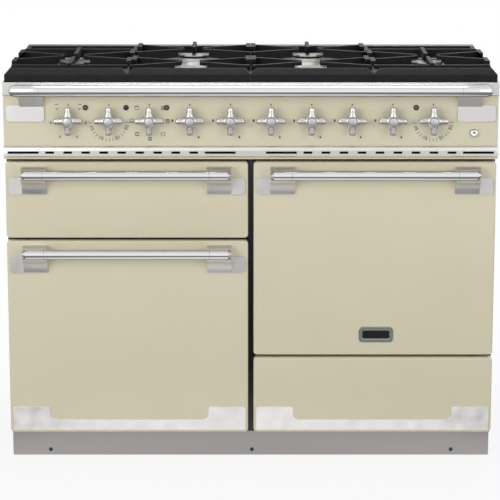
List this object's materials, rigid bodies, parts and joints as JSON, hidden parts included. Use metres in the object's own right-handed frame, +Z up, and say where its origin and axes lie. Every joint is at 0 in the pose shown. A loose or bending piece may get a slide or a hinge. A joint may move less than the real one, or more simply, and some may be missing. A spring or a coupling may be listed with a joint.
{
  "type": "dual fuel range cooker",
  "caption": "Wide free-standing range cooker with gas burners, cast pan supports, cross knobs, a grill, two ovens and a drawer behind enamelled fronts",
  "frame": {"origin": "on the floor, under the middle of the cooker's overall box", "axes": "+X to the cooker's right as seen from the front, -Y out of the front, +Z up"},
  "size_m": [1.092, 0.652, 0.899],
  "materials": {
    "cream_enamel": "gloss vitreous enamel",
    "stainless_steel": "brushed",
    "chrome": "polished",
    "black_enamel": "satin enamel",
    "oven_enamel": "gloss vitreous enamel",
    "galvanised_steel": "zinc coated sheet",
    "cast_iron": "matt black enamel",
    "burner_alloy": "cast",
    "brass": "plain",
    "electrode_ceramic": "glazed",
    "seal_rubber": "matt",
    "black_plastic": "matt",
    "neon_lens": "dark lens",
    "element_steel": "heat darkened sheath"
  },
  "bodies": {
    "cooker": {"base_chassis": "galvanised_steel", "side_panels": "black_enamel", "back_panel": "galvanised_steel", "front_frame": "black_enamel", "plinth": "stainless_steel", "plinth_screws": "black_enamel", "levelling_feet": "black_enamel", "hob_top": "stainless_steel", "rear_upstand": "stainless_steel", "hand_rail": "chrome", "control_panel": "cream_enamel", "indicator_lights": "neon_lens", "vent_trim": "stainless_steel", "left_oven_liner": "oven_enamel", "right_oven_liner": "oven_enamel", "grill_liner": "oven_enamel", "heating_elements": "element_steel", "grill_pan": "oven_enamel", "oven_shelves": "chrome", "shelf_supports": "chrome", "fan_baffles": "oven_enamel", "fan_motors": "galvanised_steel", "burner_bodies": "burner_alloy", "burner_caps": "black_enamel", "spark_electrodes": "electrode_ceramic", "gas_pipework": "brass", "oven_switches": "black_plastic", "supply_inlets": "black_plastic", "door_seals": "seal_rubber"},
    "left_oven_fan": {"left_oven_fan": "stainless_steel"},
    "right_oven_fan": {"right_oven_fan": "stainless_steel"},
    "pan_support_1": {"pan_support_1": "cast_iron"},
    "pan_support_2": {"pan_support_2": "cast_iron"},
    "pan_support_3": {"pan_support_3": "cast_iron"},
    "pan_support_4": {"pan_support_4": "cast_iron"},
    "knob_1": {"knob_1": "chrome"},
    "knob_2": {"knob_2": "chrome"},
    "knob_3": {"knob_3": "chrome"},
    "knob_4": {"knob_4": "chrome"},
    "knob_5": {"knob_5": "chrome"},
    "knob_6": {"knob_6": "chrome"},
    "knob_7": {"knob_7": "chrome"},
    "knob_8": {"knob_8": "chrome"},
    "knob_9": {"knob_9": "chrome"},
    "knob_10": {"knob_10": "chrome"},
    "ignition_button": {"ignition_button": "chrome"},
    "grill_door": {"grill_door_skin": "cream_enamel", "grill_door_liner": "oven_enamel", "grill_door_handle": "chrome"},
    "left_oven_door": {"left_oven_door_skin": "cream_enamel", "left_oven_door_liner": "oven_enamel", "left_oven_door_handle": "chrome", "left_oven_door_trim": "chrome"},
    "right_oven_door": {"right_oven_door_skin": "cream_enamel", "right_oven_door_liner": "oven_enamel", "right_oven_door_handle": "chrome", "right_oven_door_badge": "chrome"},
    "drawer": {"drawer_front": "cream_enamel", "drawer_box": "oven_enamel", "drawer_trim": "chrome"}
  },
  "joints": [
    {"name": "grill_door_hinge", "type": "hinge", "parent": "cooker", "child": "grill_door", "pos_m": [-0.275, -0.264, 0.542], "axis": [1, 0, 0], "range_deg": [0, 90]},
    {"name": "left_oven_door_hinge", "type": "hinge", "parent": "cooker", "child": "left_oven_door", "pos_m": [-0.275, -0.264, 0.092], "axis": [1, 0, 0], "range_deg": [0, 90]},
    {"name": "right_oven_door_hinge", "type": "hinge", "parent": "cooker", "child": "right_oven_door", "pos_m": [0.275, -0.264, 0.273], "axis": [1, 0, 0], "range_deg": [0, 90]},
    {"name": "drawer_slide", "type": "slide", "parent": "cooker", "child": "drawer", "axis": [0, -1, 0], "range_m": [0, 0.34]},
    {"name": "knob_1_turn", "type": "hinge", "parent": "cooker", "child": "knob_1", "pos_m": [-0.40185, -0.303, 0.788], "axis": [0, -1, 0], "range_deg": [-150, 150]},
    {"name": "knob_2_turn", "type": "hinge", "parent": "cooker", "child": "knob_2", "pos_m": [-0.31255, -0.303, 0.788], "axis": [0, 1, 0], "range_deg": [0, 270]},
    {"name": "knob_3_turn", "type": "hinge", "parent": "cooker", "child": "knob_3", "pos_m": [-0.22325, -0.303, 0.788], "axis": [0, 1, 0], "range_deg": [0, 315]},
    {"name": "knob_4_turn", "type": "hinge", "parent": "cooker", "child": "knob_4", "pos_m": [-0.13395, -0.303, 0.788], "axis": [0, -1, 0], "range_deg": [0, 210]},
    {"name": "knob_5_turn", "type": "hinge", "parent": "cooker", "child": "knob_5", "pos_m": [-0.04465, -0.303, 0.788], "axis": [0, -1, 0], "range_deg": [0, 210]},
    {"name": "knob_6_turn", "type": "hinge", "parent": "cooker", "child": "knob_6", "pos_m": [0.04465, -0.303, 0.788], "axis": [0, -1, 0], "range_deg": [0, 210]},
    {"name": "knob_7_turn", "type": "hinge", "parent": "cooker", "child": "knob_7", "pos_m": [0.13395, -0.303, 0.788], "axis": [0, -1, 0], "range_deg": [0, 210]},
    {"name": "knob_8_turn", "type": "hinge", "parent": "cooker", "child": "knob_8", "pos_m": [0.22325, -0.303, 0.788], "axis": [0, -1, 0], "range_deg": [0, 210]},
    {"name": "knob_9_turn", "type": "hinge", "parent": "cooker", "child": "knob_9", "pos_m": [0.31255, -0.303, 0.788], "axis": [0, -1, 0], "range_deg": [0, 210]},
    {"name": "knob_10_turn", "type": "hinge", "parent": "cooker", "child": "knob_10", "pos_m": [0.40185, -0.303, 0.788], "axis": [0, 1, 0], "range_deg": [0, 270]},
    {"name": "ignition_button_push", "type": "slide", "parent": "cooker", "child": "ignition_button", "axis": [0, 1, 0], "range_m": [0, 0.004], "stiffness_N_per_m": 300},
    {"name": "left_oven_fan_spin", "type": "hinge", "parent": "cooker", "child": "left_oven_fan", "pos_m": [-0.275, 0.138, 0.303], "axis": [0, 1, 0], "continuous": true},
    {"name": "right_oven_fan_spin", "type": "hinge", "parent": "cooker", "child": "right_oven_fan", "pos_m": [0.275, 0.138, 0.4825], "axis": [0, 1, 0], "continuous": true},
    {"name": "pan_support_1_lift", "type": "slide", "parent": "cooker", "child": "pan_support_1", "axis": [0, 0, 1], "range_m": [0, 0.15]},
    {"name": "pan_support_2_lift", "type": "slide", "parent": "cooker", "child": "pan_support_2", "axis": [0, 0, 1], "range_m": [0, 0.15]},
    {"name": "pan_support_3_lift", "type": "slide", "parent": "cooker", "child": "pan_support_3", "axis": [0, 0, 1], "range_m": [0, 0.15]},
    {"name": "pan_support_4_lift", "type": "slide", "parent": "cooker", "child": "pan_support_4", "axis": [0, 0, 1], "range_m": [0, 0.15]}
  ]
}
